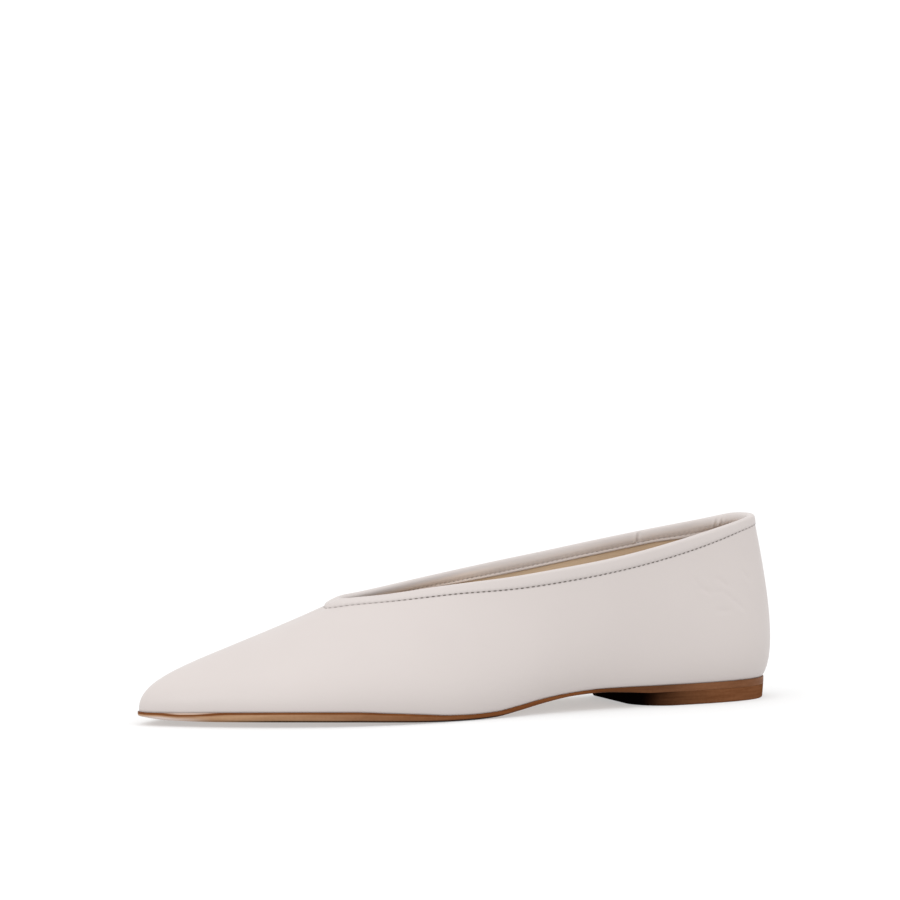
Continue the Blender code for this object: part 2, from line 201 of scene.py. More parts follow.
# rows of the last's surface, from the feather line up: shares of each rib, then distances from its rim,
# which shrink and grow with the binding's depth
def lastRows(shares, fromRim, steps, deeper=0.0):
    *handles, band = ribHandles(steps)
    band = band * (1 + deeper)
    t = np.linspace(0.0, 1.0, last["ribSamples"])
    dense = bezier(*[points[:, None, :] for points in handles], t[None, :, None])
    pieces = np.linalg.norm(np.diff(dense, axis=1), axis=2)
    lengths = np.concatenate([np.zeros((len(dense), 1)), np.cumsum(pieces, axis=1)], axis=1)
    rows = []
    for i, length in enumerate(lengths):
        gone = np.sort(fromRim)[::-1] * band[i]
        free = length[-1] - gone[0]
        wanted = [share * free for share in shares] + list(length[-1] - gone)
        at = np.interp(wanted, length, t)[:, None]
        rows.append(bezier(*[points[i] for points in handles], at))
    return np.array(rows).transpose(1, 0, 2)


def surfaceNormals(rows):
    roundShoe = np.roll(rows, -1, 1) - np.roll(rows, 1, 1)
    upRib = np.gradient(rows, axis=0)
    return unit(np.cross(roundShoe, upRib))


def featherLoop(grow, steps):
    feather = ribHandles(steps)[0]
    return feather + grow * outwards(feather)


def atHeight(loop, up):
    return np.stack([loop[:, 0], loop[:, 1], up + 0.0 * loop[:, 0]], 1)


def spineOf(loop, ends):  # a line down the middle of a loop, between these shares of the length
    middle = (loop[:, 1] + loop[-np.arange(len(loop)), 1]) / 2
    low, high = (share * last["length"] for share in ends)
    return np.stack([np.clip(loop[:, 0], low, high), middle], 1)


# the solids stand centred on the origin, so the shoe's own places are moved as they were
soleProud = 0.0005
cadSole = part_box("outsole")
soleEdge = featherLoop(soleProud, last["solidSteps"])
moved = np.array([cadSole[1][0] + soleEdge[:, 0].min(), cadSole[1][1] - soleEdge[:, 1].max(), 0.0])


def toScene(points):
    return points * (-1.0, 1.0, 1.0) + moved


def addObject(name, data):
    item = bpy.data.objects.new(name, data)
    bpy.context.scene.collection.objects.link(item)
    return item


# a mesh from rings of points; ends: "joined" as in a tube bent round, "across" for two caps
# that follow the shoe's curves, "flat" for one level face at each end
def ringMesh(name, rings, ends, values=None):
    count = len(rings[0])
    verts = toScene(np.concatenate(rings))
    faces = []
    pairs = list(zip(range(len(rings)), range(1, len(rings))))
    if ends == "joined":
        pairs.append((len(rings) - 1, 0))
    around = np.arange(count)
    nextOne = (around + 1) % count
    for low, high in pairs:
        quads = np.stack([low * count + around, high * count + around, high * count + nextOne,
                          low * count + nextOne], 1)
        faces.extend(quads.tolist())
    lastStart = (len(rings) - 1) * count
    if ends == "across":
        faces.extend(ladder(0, count))
        faces.extend(face[::-1] for face in ladder(lastStart, count))
    if ends == "flat":
        faces.append(list(range(count)))
        faces.append(list(range(lastStart, lastStart + count))[::-1])
    if volume(verts, faces) < 0:
        faces = [face[::-1] for face in faces]
    mesh = bpy.data.meshes.new(name)
    mesh.from_pydata(verts.tolist(), [], faces)
    for key, numbers in (values or {}).items():
        layer = mesh.attributes.new(key, "FLOAT", "POINT")
        layer.data.foreach_set("value", np.concatenate(numbers).astype(np.float32))
    mesh.validate()
    mesh.shade_smooth()
    return addObject(name, mesh)


def ladder(start, count):  # fills a ring straight across the shoe
    half = count // 2
    faces = [(start, start + 1, start + count - 1)]
    for i in range(1, half - 1):
        faces.append((start + i, start + i + 1, start + count - i - 1, start + count - i))
    faces.append((start + half - 1, start + half, start + half + 1))
    return faces


def volume(verts, faces):  # positive when the faces point outwards
    fans = [(face[0], face[k], face[k + 1]) for face in faces for k in range(1, len(face) - 1)]
    a, b, c = (verts[[fan[k] for fan in fans]] for k in range(3))
    return float(np.einsum("ij,ij->i", a, np.cross(b, c)).sum()) / 6.0


def addNode(tree, kind, inputs=None, **settings):
    node = tree.nodes.new(kind)
    for key, value in settings.items():
        setattr(node, key, value)
    for key, value in (inputs or {}).items():
        fill(tree, node.inputs[key], value)
    return node


def fill(tree, socket, value):
    if isinstance(value, bpy.types.NodeSocket):
        tree.links.new(value, socket)
    else:
        socket.default_value = value


def mixColour(tree, factor, first, second):
    node = addNode(tree, "ShaderNodeMix", data_type="RGBA")
    for k, value in ((0, factor), (6, first), (7, second)):
        fill(tree, node.inputs[k], value)
    return node.outputs[2]


def spread(tree, value, low, high, toLow, toHigh):
    node = addNode(tree, "ShaderNodeMapRange", {"Value": value, "From Min": low, "From Max": high,
                                                "To Min": toLow, "To Max": toHigh})
    return node.outputs["Result"]


def maths(tree, operation, first, second):
    node = addNode(tree, "ShaderNodeMath", operation=operation)
    fill(tree, node.inputs[0], first)
    fill(tree, node.inputs[1], second)
    return node.outputs["Value"]


def noise(tree, place, scale, detail=2.0, rough=0.5):
    node = addNode(tree, "ShaderNodeTexNoise", {"Vector": place, "Scale": scale, "Detail": detail,
                                                "Roughness": rough})
    return node.outputs["Fac"]


def painted(tree, name):  # a value that is painted on the mesh
    return addNode(tree, "ShaderNodeAttribute", attribute_name=name).outputs["Fac"]


def newMaterial(name):
    material = bpy.data.materials.new(name)
    material.use_nodes = True
    tree = material.node_tree
    place = addNode(tree, "ShaderNodeTexCoord").outputs["Object"]
    return material, tree, tree.nodes["Principled BSDF"], place


# smooth leather: broad mottling, fine pebbling, a little change of gloss
pebbling = {
    "mottleDetail": 3.0,
    "mottleEnds": (0.3, 0.7),   # part of the noise that runs from one colour to the other
    "fineScale": 1.7,           # the fine grain against the pebbles
    "pebbleShare": 0.7,
    "fineShare": 0.6,
    "softHeight": 0.0006,
    "grainHeight": 0.0001,
    "glossEnds": (0.25, 0.75),
}


def leather(name, look):
    material, tree, shader, place = newMaterial(name)
    broad = noise(tree, place, look["mottleScale"], pebbling["mottleDetail"])
    mottle = spread(tree, broad, *pebbling["mottleEnds"], 0.0, 1.0)
    colour = mixColour(tree, mottle, look["colour"], look["mottled"])
    # painted light: a paler colour blended in on the band's inside
    if "inside" in look:
        colour = mixColour(tree, painted(tree, "turnedIn"), colour, look["inside"])
    cells = addNode(tree, "ShaderNodeTexVoronoi", {"Vector": place, "Scale": look["grainScale"]},
                    feature="SMOOTH_F1").outputs["Distance"]
    fine = noise(tree, place, look["grainScale"] * pebbling["fineScale"])
    soft = noise(tree, place, look["softScale"])
    grain = maths(tree, "ADD", maths(tree, "MULTIPLY", cells, pebbling["pebbleShare"]),
                  maths(tree, "MULTIPLY", fine, pebbling["fineShare"]))
    first = addNode(tree, "ShaderNodeBump", {"Height": soft, "Strength": look["softStrength"],
                                             "Distance": pebbling["softHeight"]}).outputs["Normal"]
    bump = addNode(tree, "ShaderNodeBump", {"Height": grain, "Strength": look["grainStrength"],
                                            "Distance": pebbling["grainHeight"],
                                            "Normal": first}).outputs["Normal"]
    rough = spread(tree, soft, *pebbling["glossEnds"], *look["rough"])
    fill(tree, shader.inputs["Base Color"], colour)
    fill(tree, shader.inputs["Roughness"], rough)
    fill(tree, shader.inputs["Normal"], bump)
    shader.inputs["Specular IOR Level"].default_value = look["specular"]
    shader.inputs["Coat Weight"].default_value = look["coat"]
    shader.inputs["Coat Roughness"].default_value = look["coatRough"]
    return material


# the upper: one skin of soft leather, tucked under at the feather line, with a few faint wrinkles
upper = {
    "steps": 24,
    "leather": 0.00105,
    "wallRows": 84,
    "collarRows": (0.0, 0.0012, 0.0024, 0.0030, 0.0033, 0.00355, 0.0038, 0.0041, 0.0046, 0.0054),
    "ditch": 0.0036,           # the stitched groove under the binding: distance from the rim, width, depth
    "ditchWidth": 0.0005,
    "ditchDepth": 0.00016,
    "tuckIn": (0.0014, 0.00045, 0.00012),
    "tuckDown": (0.00005, 0.00005, 0.00003),
    "innerEvery": 6,           # the hidden inner face takes only every so many rows
    "wrinkleEnds": (-0.15, 0.3, 0.7, 1.15),   # shares of a wrinkle where it begins, is full and ends
    "wrinkleSwell": 0.45,      # leather pushed up beside it, against its depth
    "wrinkleSpread": 6.0,      # square of how much wider that is
    "look": {
        "colour": (0.455, 0.412, 0.396, 1.0), "mottled": (0.467, 0.424, 0.407, 1.0), "mottleScale": 22.0,
        "grainScale": 1500.0, "grainStrength": 0.10, "softScale": 60.0, "softStrength": 0.05,
        "rough": (0.40, 0.50), "specular": 0.42, "coat": 0.06, "coatRough": 0.35,
    },
}
# wrinkles in the quarter, on the lateral side: both ends as (along, up), then width and depth, all in mm
wrinkleColumns = ("fromAlong", "fromUp", "toAlong", "toUp", "width", "depth")
wrinkleTable = (
    (38.0, 43.2, 31.5, 40.5, 1.0, 0.26),
    (31.0, 41.3, 26.0, 40.9, 1.0, 0.12),
    (26.0, 41.0, 16.0, 33.4, 1.0, 0.26),
    (29.8, 46.8, 23.2, 42.7, 1.0, 0.26),
    (39.8, 47.0, 35.2, 42.4, 1.0, 0.26),
    (31.0, 34.2, 24.0, 33.8, 1.1, 0.18),
    (15.8, 48.2, 12.2, 44.8, 1.0, 0.20),
)
wrinkles = [dict(zip(wrinkleColumns, row)) for row in wrinkleTable]


def wrinkleDepth(points):
    depth = np.zeros(points.shape[:2])
    flat = points[..., (0, 2)] / mm
    for wrinkle in wrinkles:
        start = np.array([wrinkle["fromAlong"], wrinkle["fromUp"]])
        run = np.array([wrinkle["toAlong"], wrinkle["toUp"]]) - start
        share = ((flat - start) @ run) / (run @ run)
        away = np.linalg.norm(flat - start - np.clip(share, 0, 1)[..., None] * run, axis=-1)
        bend = (away / wrinkle["width"]) ** 2
        shape = np.exp(-bend) - upper["wrinkleSwell"] * np.exp(-bend / upper["wrinkleSpread"])
        depth += wrinkle["depth"] * between(share, upper["wrinkleEnds"]) * shape
    return depth * mm * (points[..., 1] < 0)


def makeUpper():
    shares = np.linspace(0.0, 1.0, upper["wallRows"], endpoint=False)
    rows = lastRows(shares, upper["collarRows"], upper["steps"])
    normals = surfaceNormals(rows)
    sunk = wrinkleDepth(rows)
    collar = np.array(sorted(upper["collarRows"])[::-1])
    groove = upper["ditchDepth"] * np.exp(-((collar - upper["ditch"]) / upper["ditchWidth"]) ** 2)
    sunk[-len(collar):] += groove[:, None]
    outer = rows - sunk[..., None] * normals
    level = outwards(rows[0])
    tucks = [rows[0] - into * level - (0.0, 0.0, down)
             for into, down in zip(upper["tuckIn"], upper["tuckDown"])]
    inner = rows - upper["leather"] * normals
    keep = list(range(len(rows) - 1, 0, -upper["innerEvery"])) + [0]
    rings = tucks + list(outer) + [inner[k] for k in keep]
    return ringMesh("upperLeather", rings, "joined")


upperPiece = makeUpper()
upperPiece.data.materials.append(leather("offWhiteCalf", upper["look"]))
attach(upperPiece, "root")
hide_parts("upper")
print("upper made:", len(upperPiece.data.polygons), "faces")

# the lining: thin leather glued inside the upper, from the insole to under the binding
lining = {
    "steps": 12,
    "wallRows": 36,
    "collarRows": (0.0027, 0.0036, 0.0046),
    "outside": 0.00110,
    "inside": 0.00180,
    "look": {
        "colour": (0.545, 0.410, 0.279, 1.0), "mottled": (0.508, 0.378, 0.256, 1.0), "mottleScale": 60.0,
        "grainScale": 1900.0, "grainStrength": 0.18, "softScale": 90.0, "softStrength": 0.05,
        "rough": (0.62, 0.74), "specular": 0.30, "coat": 0.0, "coatRough": 0.5,
    },
}


def makeLining():
    shares = np.linspace(0.0, 1.0, lining["wallRows"], endpoint=False)
    rows = lastRows(shares, lining["collarRows"], lining["steps"])
    normals = surfaceNormals(rows)
    outside = rows - lining["outside"] * normals
    inside = rows - lining["inside"] * normals
    return ringMesh("liningLeather", list(outside) + list(inside[::-1]), "joined")


liningPiece = makeLining()
liningPiece.data.materials.append(leather("beigeLining", lining["look"]))
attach(liningPiece, "root")
print("lining made:", len(liningPiece.data.polygons), "faces")

# the binding: a strip sewn on in the ditch and folded over the top edge, slightly plump
# outside and inside: distance down from the top edge and how far out from the upper's face, in mm
binding = {
    "steps": 54,
    "wallShares": (0.0, 0.3, 0.6, 0.85, 0.95),   # rows of the wall below the band, for its slope
    "outside": ((3.80, -0.30), (3.66, -0.14), (3.54, 0.06), (3.36, 0.25), (3.1, 0.39), (2.7, 0.51),
                (2.2, 0.59), (1.5, 0.64), (0.7, 0.65)),
    "crestRise": 0.00150,
    "crestFollows": 0.5,       # shares of the band's change of depth that crest and plumpness follow
    "plumpFollows": 1.6,
    "backRoll": 1.4,           # extra plumpness inside at the back, and how far along it goes
    "backRollEnds": (0.004, 0.020),
    "backRollDown": (2.2, 3.5),  # and where it dies out down the inside, in mm
    "crestSteps": 20,
    "innerFall": 0.0012,       # the fold turns down this far below the top edge on the inside
    "innerDeeper": 0.62,       # the inside reaches deeper at the back, and how far along
    "innerDeeperEnds": (0.011, 0.036),
    "foldsFrom": (1.6, 2.4),   # turn of the crest where folds begin and are full
    "reach": 0.00155,
    "palesFrom": (2.4, 3.1),   # turn of the crest where the painted light inside begins and is full
    "paleShare": 0.27,         # how much painted light it takes, fully so only towards the throat
    "paleAlong": (0.095, 0.118),
    "inside": ((1.45, 0.63), (1.8, 0.58), (2.2, 0.50), (2.5, 0.40), (2.7, 0.31), (2.86, 0.34),
               (3.05, 0.44), (3.4, 0.48), (3.66, 0.44), (3.78, 0.24), (3.78, -0.04)),
    "outerSeam": 3.66,         # where the thread lies: distance down, then how far out
    "outerThread": 0.03,
    "threadSinks": 0.12,       # deeper in the ditch towards the throat, and from which shares of the length
    "threadSinkShares": (0.55, 0.66),
    "innerSeam": 2.7,
    "innerThread": 0.25,
    "stitchPitch": 0.00212,
    "pinch": 0.00008,          # the leather's swell between stitches, this far above the seam in mm
    "pinchAbove": 0.5,
    "pinchReach": 0.6,
    "hiddenGap": 0.00002,      # the strip's hidden face lies this close round the wall
    "hiddenRise": 0.0001,
    "hiddenDown": (0.3, 3.1),  # how far down it goes inside and outside, in mm
    "look": {
        "colour": (0.455, 0.413, 0.397, 1.0), "mottled": (0.467, 0.425, 0.408, 1.0), "mottleScale": 40.0,
        "inside": (0.650, 0.562, 0.502, 1.0),   # painted light: paler on the band's inside, where it lies in shade
        "grainScale": 1500.0, "grainStrength": 0.10, "softScale": 110.0, "softStrength": 0.05,
        "rough": (0.38, 0.48), "specular": 0.44, "coat": 0.06, "coatRough": 0.35,
    },
}
# folds across the inside of the band on the medial side: along, slant, width and depth in mm
foldColumns = ("along", "slant", "width", "depth")
foldTable = (
    (39.4, 0.10, 0.70, 0.50),   # butt seam of the strip
    (41.0, 0.10, 0.80, -0.32),
    (10.4, 0.30, 0.55, -0.15),  # gathers near the back
    (9.3, 0.30, 0.60, 0.15),
    (8.0, 0.25, 0.45, -0.15),
    (6.9, 0.25, 0.60, 0.15),
    (5.2, 0.20, 0.70, 0.08),
)
folds = [dict(zip(foldColumns, row)) for row in foldTable]


def bindingRows(deeper):
    down = {gone for gone, out in binding["outside"] + binding["inside"]}
    down = sorted(down | {0.0, *binding["hiddenDown"]})
    rows = lastRows(binding["wallShares"], [gone * mm for gone in down], binding["steps"], deeper)
    normals = surfaceNormals(rows)
    order = {gone: len(rows) - 1 - k for k, gone in enumerate(down)}
    return rows, normals, order


def stitchWave(path):  # one swell of the leather between neighbouring stitches
    steps = np.linalg.norm(np.roll(path, -1, 0) - path, axis=1)
    run = np.concatenate([[0.0], np.cumsum(steps)[:-1]])
    count = int(steps.sum() / binding["stitchPitch"])
    return np.cos(2 * math.pi * count * run / steps.sum())


def pinched(gone, seam):
    return math.exp(-((gone - seam + binding["pinchAbove"]) / binding["pinchReach"]) ** 2)


def foldDepth(place, gone):
    depth = np.zeros(len(place))
    for fold in folds:
        centre = fold["along"] + fold["slant"] * gone
        across = np.exp(-((place[:, 0] / mm - centre) / fold["width"]) ** 2)
        depth += fold["depth"] * across * (place[:, 1] > 0) * (gone < binding["innerSeam"])
    return depth


def makeBinding():
    rows, normals, order = bindingRows(0.0)
    deeper = binding["innerDeeper"] * (1 - smooth(rows[-1][:, 0], *binding["innerDeeperEnds"]))
    inRows, inNormals, order = bindingRows(deeper)
    wall = last["wall"]
    wave = stitchWave(rows[order[binding["outerSeam"]]])
    change = ribHandles(binding["steps"])[4] - 1
    plump = 1 + binding["plumpFollows"] * change
    crest = binding["crestRise"] * (1 + binding["crestFollows"] * change)
    roll = binding["backRoll"] * (1 - smooth(rows[-1][:, 0], *binding["backRollEnds"]))
    # painted light inside the band, fully so towards the throat
    insideLit = smooth(rows[-1][:, 0], *binding["paleAlong"])
    insideLit = binding["paleShare"] + (1 - binding["paleShare"]) * insideLit
    rings, turnedIn = [], []
    for gone, out in binding["outside"]:
        k = order[gone]
        near = pinched(gone, binding["outerSeam"])
        out = out * mm * (plump if out > 0 else 1.0)
        rings.append(rows[k] + (out + binding["pinch"] * near * wave)[:, None] * normals[k])
        turnedIn.append(0.0 * wave)
    edge, normal = rows[-1], normals[-1]
    rising = unit(edge - rows[-2])
    middle = edge - wall / 2 * normal
    spare = binding["reach"] - wall / 2
    for k in range(binding["crestSteps"] + 1):
        turn = math.pi * k / binding["crestSteps"]
        inward = k > binding["crestSteps"] / 2
        reach = wall / 2 + spare * (1 + roll if inward else plump)
        fall = crest + inward * binding["innerFall"] * (1 + change) * (1 + deeper)
        up = crest - fall * (1 - math.sin(turn))
        folded = foldDepth(edge, -up / mm) * mm * smooth(turn, *binding["foldsFrom"])
        rings.append(middle + (reach * math.cos(turn) + folded)[:, None] * normal + up[:, None] * rising)
        turnedIn.append(smooth(turn, *binding["palesFrom"]) * insideLit)
    for gone, out in binding["inside"]:
        k = order[gone]
        near = pinched(gone, binding["innerSeam"])
        swell = 1 + roll * (1 - smooth(gone, *binding["backRollDown"]))
        depth = wall + (out * swell - foldDepth(inRows[k], gone)) * mm + binding["pinch"] * near * wave
        rings.append(inRows[k] - depth[:, None] * inNormals[k])
        turnedIn.append(insideLit)
    near, far = binding["hiddenGap"], wall + binding["hiddenGap"]
    within, without = (order[gone] for gone in binding["hiddenDown"])
    top = edge + binding["hiddenRise"] * rising
    rings += [rows[within] - far * normals[within], top - far * normal,
              top + near * normal, rows[without] + near * normals[without]]
    turnedIn += [0.0 * wave] * 4
    outer, inner = order[binding["outerSeam"]], order[binding["innerSeam"]]
    sunk = binding["threadSinks"] * smooth(rows[outer][:, 0] / last["length"], *binding["threadSinkShares"])
    outerLine = rows[outer] + ((binding["outerThread"] - sunk) * mm)[:, None] * normals[outer]
    innerLine = inRows[inner] - (wall + binding["innerThread"] * mm) * inNormals[inner]
    strip = ringMesh("bindingStrip", rings, "joined", {"turnedIn": turnedIn})
    return strip, toScene(outerLine), toScene(innerLine)


bindingPiece, outerLine, innerLine = makeBinding()
bindingPiece.data.materials.append(leather("foldedCalf", binding["look"]))
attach(bindingPiece, "root")
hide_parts("topline_binding")
print("binding made:", len(bindingPiece.data.polygons), "faces")

# stitches: short capsules laid along a path at an even pitch
stitch = {
    "pitch": binding["stitchPitch"],
    "segments": 10,
    "rings": 7,
    "rough": 0.7,
    "strandScale": 4200.0,
    "strandBump": 0.3,
    "strandHeight": 0.0001,
    # the thread's colour, its lighter strands, and the paler colour of its painted light
    "outer": {"length": 0.00126, "thick": 0.00038, "colour": (0.095, 0.079, 0.069, 1.0),
              "twist": (0.130, 0.110, 0.096, 1.0), "lightened": (0.27, 0.24, 0.225, 1.0)},
    "inner": {"length": 0.00120, "thick": 0.00030, "colour": (0.27, 0.235, 0.21, 1.0),
              "twist": (0.32, 0.28, 0.255, 1.0), "lightened": (0.42, 0.37, 0.34, 1.0)},
    "lightenFront": (-0.024, -0.042),   # painted light: the thread is made paler towards the throat and round the back, along the shoe
    "lightenBack": (0.104, 0.116),
}


def threadMaterial(name, look):
    material, tree, shader, place = newMaterial(name)
    strands = noise(tree, place, stitch["strandScale"])
    along = addNode(tree, "ShaderNodeSeparateXYZ", {"Vector": place}).outputs["X"]
    # painted light: paler thread towards the throat and round the back
    lightened = maths(tree, "MAXIMUM", spread(tree, along, *stitch["lightenFront"], 0.0, 1.0),
                  spread(tree, along, *stitch["lightenBack"], 0.0, 1.0))
    plainThread = mixColour(tree, strands, look["colour"], look["twist"])
    fill(tree, shader.inputs["Base Color"], mixColour(tree, lightened, plainThread, look["lightened"]))
    bump = addNode(tree, "ShaderNodeBump", {"Height": strands, "Strength": stitch["strandBump"],
                                            "Distance": stitch["strandHeight"]})
    fill(tree, shader.inputs["Normal"], bump.outputs["Normal"])
    shader.inputs["Roughness"].default_value = stitch["rough"]
    return material


def stitchTree():
    tree = bpy.data.node_groups.new("stitchRow", "GeometryNodeTree")
    face = tree.interface
    face.new_socket("Path", in_out="INPUT", socket_type="NodeSocketGeometry")
    names = {}
    for label in ("Pitch", "Length", "Thickness"):
        names[label] = face.new_socket(label, in_out="INPUT", socket_type="NodeSocketFloat").identifier
    names["Thread"] = face.new_socket("Thread", in_out="INPUT", socket_type="NodeSocketMaterial").identifier
    face.new_socket("Stitches", in_out="OUTPUT", socket_type="NodeSocketGeometry")
    given = addNode(tree, "NodeGroupInput").outputs
    curve = addNode(tree, "GeometryNodeMeshToCurve", {"Mesh": given["Path"]})
    spaced = addNode(tree, "GeometryNodeResampleCurve", {"Curve": curve.outputs[0], "Length": given["Pitch"]},
                     mode="LENGTH")
    ball = addNode(tree, "GeometryNodeMeshUVSphere", {"Segments": stitch["segments"],
                                                      "Rings": stitch["rings"], "Radius": 0.5})
    size = addNode(tree, "ShaderNodeCombineXYZ", {"X": given["Thickness"], "Y": given["Thickness"],
                                                  "Z": given["Length"]})
    capsule = addNode(tree, "GeometryNodeTransform", {"Geometry": ball.outputs["Mesh"],
                                                      "Scale": size.outputs["Vector"]})
    tangent = addNode(tree, "GeometryNodeInputTangent")
    turned = addNode(tree, "FunctionNodeAlignRotationToVector", {"Vector": tangent.outputs["Tangent"]},
                     axis="Z")
    laid = addNode(tree, "GeometryNodeInstanceOnPoints", {
        "Points": spaced.outputs["Curve"], "Instance": capsule.outputs["Geometry"],
        "Rotation": turned.outputs["Rotation"]})
    real = addNode(tree, "GeometryNodeRealizeInstances", {"Geometry": laid.outputs["Instances"]})
    rounded = addNode(tree, "GeometryNodeSetShadeSmooth", {"Geometry": real.outputs["Geometry"]})
    thread = addNode(tree, "GeometryNodeSetMaterial", {"Geometry": rounded.outputs["Geometry"],
                                                       "Material": given["Thread"]})
    out = addNode(tree, "NodeGroupOutput")
    tree.links.new(thread.outputs["Geometry"], out.inputs["Stitches"])
    return tree, names


def sewRow(name, path, tree, names, look):
    mesh = bpy.data.meshes.new(name + "Path")
    edges = [(i, (i + 1) % len(path)) for i in range(len(path))]
    mesh.from_pydata(path.tolist(), edges, [])
    host = addObject(name + "Path", mesh)
    modifier = host.modifiers.new("stitchRow", "NODES")
    modifier.node_group = tree
    modifier[names["Pitch"]] = stitch["pitch"]
    modifier[names["Length"]] = look["length"]
    modifier[names["Thickness"]] = look["thick"]
    modifier[names["Thread"]] = threadMaterial(name + "Thread", look)
    bpy.context.view_layer.update()
    shown = host.evaluated_get(bpy.context.evaluated_depsgraph_get())
    sewn = bpy.data.meshes.new_from_object(shown)
    sewn.name = name
    piece = addObject(name, sewn)
    host.modifiers.remove(modifier)
    bpy.data.objects.remove(host)
    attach(piece, "root")
    print(name, "sewn:", len(piece.data.polygons), "faces")
    return piece


rowTree, rowInputs = stitchTree()
sewRow("outerStitches", outerLine, rowTree, rowInputs, stitch["outer"])
sewRow("innerStitches", innerLine, rowTree, rowInputs, stitch["inner"])

# the outsole: dark stained lip on top of a rounded tan edge that darkens towards the waist and heel
sole = {
    "steps": 18,
    "proud": soleProud,
    "lipRound": ((0.00060, 0.0), (0.00012, 0.00001), (0.00003, 0.00006), (0.0, 0.00016)),
    "drop": 0.00006,           # top of the sole under the feather line
    "flat": 0.0009,
    "lipRows": (0.30, 0.42, 0.54, 0.66, 0.78, 0.90),   # rows down the upright part, as shares of it
    "edgeSteps": 8,
    "under": (0.96, 0.90, 0.80, 0.68, 0.54, 0.40, 0.28, 0.16),
    "spine": (0.09, 0.90),
    "stainUnder": (0.86, 1.0),   # the stain runs under the edge, between these shares of the width
    "lipDepth": (0.00052, 0.00088),
    "toeDip": 0.00060,         # the lip runs this much lower beside the toe, under a sliver of painted reflection
    "toeDipShares": (0.905, 0.950, 0.962, 0.990),   # of the length: where the dip begins, is full and ends
    "sliver": (-0.00022, -0.00004),
    "footShadowLine": (0.00090, 0.00040),   # painted contact shadow: a dark line along the bottom of the edge
    "footShadow": 0.95,
    "footShadowShares": (0.44, 0.54, 0.84, 0.965),
    "breastShade": 0.35,        # painted shade: a darker edge above the heel's breast
    "breastShadeAlong": (0.035, 0.055, 0.075, 0.095),
    "seatEnds": (0.045, 0.085),   # the heel seat takes the heel's brown
    "paleTip": 0.8,            # painted reflection: pale under the toe, where the sole turns under
    "paleShares": (0.92, 0.985),
    "paleDepth": (0.00085, 0.0016),
    "paleSliver": 0.42,
    "fadeFrom": 0.50,          # share of the length where the tan begins to show, and where it is full
    "fadeTo": 0.89,
    "fadePower": 1.8,
    "dark": (0.118, 0.036, 0.009, 1.0),
    "darkStreak": (0.160, 0.056, 0.017, 1.0),
    "seat": (0.126, 0.050, 0.021, 1.0),
    "seatStreak": (0.176, 0.075, 0.035, 1.0),
    "tan": (0.305, 0.172, 0.090, 1.0),
    "tanStreak": (0.375, 0.228, 0.134, 1.0),
    # near-black of the painted shade along the sole's foot and above the heel's breast
    "blackAndShade": (0.0025, 0.0012, 0.0010, 1.0),
    # pale colour of the painted reflection under the toe and in the sliver
    "pale": (0.62, 0.54, 0.51, 1.0),
    "rough": (0.36, 0.52),
    "specular": 0.04,
}


# brown leather, streaked along its edge: the stain is painted from tan to dark; near-black painted shade (on
# the heel also its black breast) and a pale painted reflection go over that
streaking = {
    "scale": (60.0, 60.0, 900.0),
    "detail": 4.0,
    "rough": 0.6,
    "fibreScale": 900.0,
    "fibreDetail": 3.0,
    "streakShare": 0.75,
    "fibreShare": 0.25,
    "blendEnds": (0.35, 0.65),   # part of the noise that runs from one colour to the other
    "glossEnds": (0.3, 0.7),
    "bump": 0.15,
    "height": 0.0002,
}


def stainedLeather(name, look):
    material, tree, shader, place = newMaterial(name)
    stretched = addNode(tree, "ShaderNodeMapping", {"Vector": place, "Scale": streaking["scale"]})
    streaks = noise(tree, stretched.outputs["Vector"], 1.0, streaking["detail"], streaking["rough"])
    fibres = noise(tree, place, streaking["fibreScale"], streaking["fibreDetail"])
    both = maths(tree, "ADD", maths(tree, "MULTIPLY", streaks, streaking["streakShare"]),
                 maths(tree, "MULTIPLY", fibres, streaking["fibreShare"]))
    blend = spread(tree, both, *streaking["blendEnds"], 0.0, 1.0)
    darkSide = mixColour(tree, blend, look["dark"], look["darkStreak"])
    tanSide = mixColour(tree, blend, look["tan"], look["tanStreak"])
    if "seat" in look:
        seatSide = mixColour(tree, blend, look["seat"], look["seatStreak"])
        darkSide = mixColour(tree, painted(tree, "seat"), darkSide, seatSide)
    colour = mixColour(tree, painted(tree, "stain"), tanSide, darkSide)
    # painted reflection: a pale colour laid over the edge under the toe and in the sliver beside it
    if "pale" in look:
        colour = mixColour(tree, painted(tree, "pale"), colour, look["pale"])
    # near-black over that: painted shade, and on the heel also its black breast
    colour = mixColour(tree, painted(tree, "blackAndShade"), colour, look["blackAndShade"])
    fill(tree, shader.inputs["Base Color"], colour)
    fill(tree, shader.inputs["Roughness"], spread(tree, fibres, *streaking["glossEnds"], *look["rough"]))
    bump = addNode(tree, "ShaderNodeBump", {"Height": both, "Strength": streaking["bump"],
                                            "Distance": streaking["height"]})
    fill(tree, shader.inputs["Normal"], bump.outputs["Normal"])
    shader.inputs["Specular IOR Level"].default_value = look["specular"]
    return material


